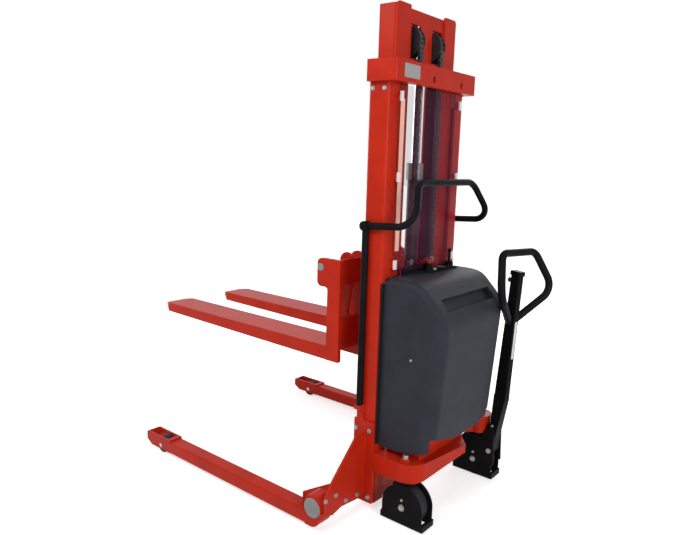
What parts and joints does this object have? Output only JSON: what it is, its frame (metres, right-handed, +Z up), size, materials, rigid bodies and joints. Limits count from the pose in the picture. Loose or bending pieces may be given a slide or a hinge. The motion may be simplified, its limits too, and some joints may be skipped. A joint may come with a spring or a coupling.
{
  "type": "semi-electric straddle stacker",
  "caption": "Pedestrian stacker: telescopic mast with chain-lifted forks, wide straddle legs, rear power cover, push handle and a tiller that steers a wheel beside a castor",
  "frame": {"origin": "On the floor, under the centre of the whole object's footprint.", "axes": "+X is the operator's right, +Y points forward along the forks, +Z is up."},
  "size_m": [1.146, 1.8927, 2.081],
  "materials": {
    "red_paint": "gloss enamel",
    "black_paint": "satin powder coat",
    "grey_cap": "satin grey",
    "zinc": "zinc plated",
    "steel": "turned steel",
    "chrome_rod": "hard chrome",
    "cylinder_paint": "satin grey",
    "gland_steel": "turned, light grey",
    "chain_steel": "oiled",
    "sheave_iron": "dark, greased",
    "white_nylon": "moulded nylon",
    "cover_abs": "fine-textured ABS",
    "clear_sheet": "clear polycarbonate",
    "wheel_poly": "polyurethane tyre",
    "roller_poly": "pale polyurethane",
    "black_plastic": "moulded",
    "red_plastic": "moulded",
    "hose_rubber": "smooth",
    "battery_case": "moulded",
    "tank_paint": "satin",
    "motor_paint": "satin"
  },
  "bodies": {
    "chassis": {"base_pan": "red_paint", "batteries": "battery_case", "chain_anchors": "zinc", "charger_box": "motor_paint", "chassis_bolts": "zinc", "control_panel": "black_plastic", "cylinder_gland": "gland_steel", "leg_end_caps": "grey_cap", "leg_roller_axles": "steel", "lift_cylinder": "cylinder_paint", "mast_ties": "red_paint", "mast_wear_pads": "white_nylon", "oil_tank": "tank_paint", "outer_column_left": "red_paint", "outer_column_right": "red_paint", "pressure_hose": "hose_rubber", "pump_motor": "motor_paint", "push_handle": "black_paint", "rear_chains": "chain_steel", "rear_cover": "cover_abs", "safety_screen": "clear_sheet", "screen_clips": "white_nylon", "steering_arm": "red_paint", "straddle_brackets": "red_paint", "straddle_leg_left": "red_paint", "straddle_leg_right": "red_paint", "top_crossbeam": "red_paint"},
    "inner_mast": {"inner_column_left": "red_paint", "inner_column_right": "red_paint", "inner_crosshead": "red_paint", "inner_mast_pins": "steel", "lift_rod": "chrome_rod", "chain_wraps": "chain_steel", "front_chains": "chain_steel"},
    "carriage": {"fork_left": "red_paint", "fork_right": "red_paint", "carriage_frame": "red_paint", "carriage_shaft": "grey_cap"},
    "castor": {"castor_fork": "black_paint", "castor_axle": "zinc"},
    "steering": {"steer_yoke": "black_paint", "steer_axle": "zinc", "tiller_pivot": "zinc"},
    "tiller": {"tiller_tube": "black_paint", "tiller_loop": "black_plastic"},
    "inner_roller_left": {"inner_roller_left": "steel"},
    "inner_roller_right": {"inner_roller_right": "steel"},
    "chain_sheave_left": {"chain_sheave_left": "sheave_iron"},
    "chain_sheave_right": {"chain_sheave_right": "sheave_iron"},
    "carriage_roller_upper_left": {"carriage_roller_upper_left": "steel"},
    "carriage_roller_upper_right": {"carriage_roller_upper_right": "steel"},
    "carriage_roller_lower_left": {"carriage_roller_lower_left": "steel"},
    "carriage_roller_lower_right": {"carriage_roller_lower_right": "steel"},
    "castor_wheel": {"castor_wheel": "wheel_poly"},
    "steer_wheel": {"steer_wheel": "wheel_poly"},
    "leg_roller_left": {"leg_roller_left": "roller_poly"},
    "leg_roller_right": {"leg_roller_right": "roller_poly"},
    "lift_lever": {"lift_lever": "steel"},
    "stop_button": {"stop_button": "red_plastic"},
    "tiller_button": {"tiller_button": "red_plastic"}
  },
  "joints": [
    {"name": "mast_lift", "type": "slide", "parent": "chassis", "child": "inner_mast", "axis": [0, 0, 1], "range_m": [-0.288, 0.962], "deforming": ["rear_chains"]},
    {"name": "carriage_lift", "type": "slide", "parent": "inner_mast", "child": "carriage", "axis": [0, 0, 1], "range_m": [-0.288, 0.962], "deforming": ["front_chains"]},
    {"name": "sheave_spin_left", "type": "hinge", "parent": "inner_mast", "child": "chain_sheave_left", "pos_m": [-0.078, -0.47859, 1.95], "axis": [1, 0, 0], "continuous": true},
    {"name": "inner_roller_spin_left", "type": "hinge", "parent": "inner_mast", "child": "inner_roller_left", "pos_m": [-0.253, -0.48359, 0.433], "axis": [1, 0, 0], "continuous": true},
    {"name": "carriage_roller_spin_upper_left", "type": "hinge", "parent": "carriage", "child": "carriage_roller_upper_left", "pos_m": [-0.18, -0.46859, 1.01], "axis": [1, 0, 0], "continuous": true},
    {"name": "carriage_roller_spin_lower_left", "type": "hinge", "parent": "carriage", "child": "carriage_roller_lower_left", "pos_m": [-0.18, -0.46859, 0.7], "axis": [1, 0, 0], "continuous": true},
    {"name": "leg_roller_spin_left", "type": "hinge", "parent": "chassis", "child": "leg_roller_left", "pos_m": [-0.532, 0.57641, 0.041], "axis": [1, 0, 0], "continuous": true},
    {"name": "sheave_spin_right", "type": "hinge", "parent": "inner_mast", "child": "chain_sheave_right", "pos_m": [0.078, -0.47859, 1.95], "axis": [1, 0, 0], "continuous": true},
    {"name": "inner_roller_spin_right", "type": "hinge", "parent": "inner_mast", "child": "inner_roller_right", "pos_m": [0.253, -0.48359, 0.433], "axis": [1, 0, 0], "continuous": true},
    {"name": "carriage_roller_spin_upper_right", "type": "hinge", "parent": "carriage", "child": "carriage_roller_upper_right", "pos_m": [0.18, -0.46859, 1.01], "axis": [1, 0, 0], "continuous": true},
    {"name": "carriage_roller_spin_lower_right", "type": "hinge", "parent": "carriage", "child": "carriage_roller_lower_right", "pos_m": [0.18, -0.46859, 0.7], "axis": [1, 0, 0], "continuous": true},
    {"name": "leg_roller_spin_right", "type": "hinge", "parent": "chassis", "child": "leg_roller_right", "pos_m": [0.532, 0.57641, 0.041], "axis": [1, 0, 0], "continuous": true},
    {"name": "castor_swivel", "type": "hinge", "parent": "chassis", "child": "castor", "pos_m": [-0.262, -0.67559, 0.183], "axis": [0, 0, 1], "continuous": true},
    {"name": "steering_turn", "type": "hinge", "parent": "chassis", "child": "steering", "pos_m": [0.326, -0.69859, 0.222], "axis": [0, 0, 1], "range_deg": [0, 80]},
    {"name": "tiller_tilt", "type": "hinge", "parent": "steering", "child": "tiller", "pos_m": [0.326, -0.77959, 0.148], "axis": [1, 0, 0], "range_deg": [0, 70]},
    {"name": "tiller_button_press", "type": "slide", "parent": "tiller", "child": "tiller_button", "axis": [-0.2419, -0.9679, -0.0677], "range_m": [0, 0.005], "stiffness_N_per_m": 500},
    {"name": "stop_button_press", "type": "slide", "parent": "chassis", "child": "stop_button", "axis": [0, 0, -1], "range_m": [0, 0.006], "stiffness_N_per_m": 700},
    {"name": "lift_lever_swing", "type": "hinge", "parent": "chassis", "child": "lift_lever", "pos_m": [0.165, -0.57659, 1.028], "axis": [0, 1, 0], "range_deg": [-22, 22], "stiffness_Nm_per_rad": 1.5},
    {"name": "castor_spin", "type": "hinge", "parent": "castor", "child": "castor_wheel", "pos_m": [-0.262, -0.69359, 0.082], "axis": [1, 0, 0], "continuous": true},
    {"name": "steer_spin", "type": "hinge", "parent": "steering", "child": "steer_wheel", "pos_m": [0.326, -0.69859, 0.082], "axis": [1, 0, 0], "continuous": true}
  ],
  "couplings": [
    {"joint": "carriage_lift", "follows": "mast_lift", "ratio": 1},
    {"joint": "sheave_spin_left", "follows": "mast_lift", "rad_per_m": 19.231},
    {"joint": "inner_roller_spin_left", "follows": "mast_lift", "rad_per_m": 25.189},
    {"joint": "carriage_roller_spin_upper_left", "follows": "mast_lift", "rad_per_m": -28.818},
    {"joint": "carriage_roller_spin_lower_left", "follows": "mast_lift", "rad_per_m": 28.818},
    {"joint": "sheave_spin_right", "follows": "mast_lift", "rad_per_m": 19.231},
    {"joint": "inner_roller_spin_right", "follows": "mast_lift", "rad_per_m": 25.189},
    {"joint": "carriage_roller_spin_upper_right", "follows": "mast_lift", "rad_per_m": -28.818},
    {"joint": "carriage_roller_spin_lower_right", "follows": "mast_lift", "rad_per_m": 28.818}
  ]
}
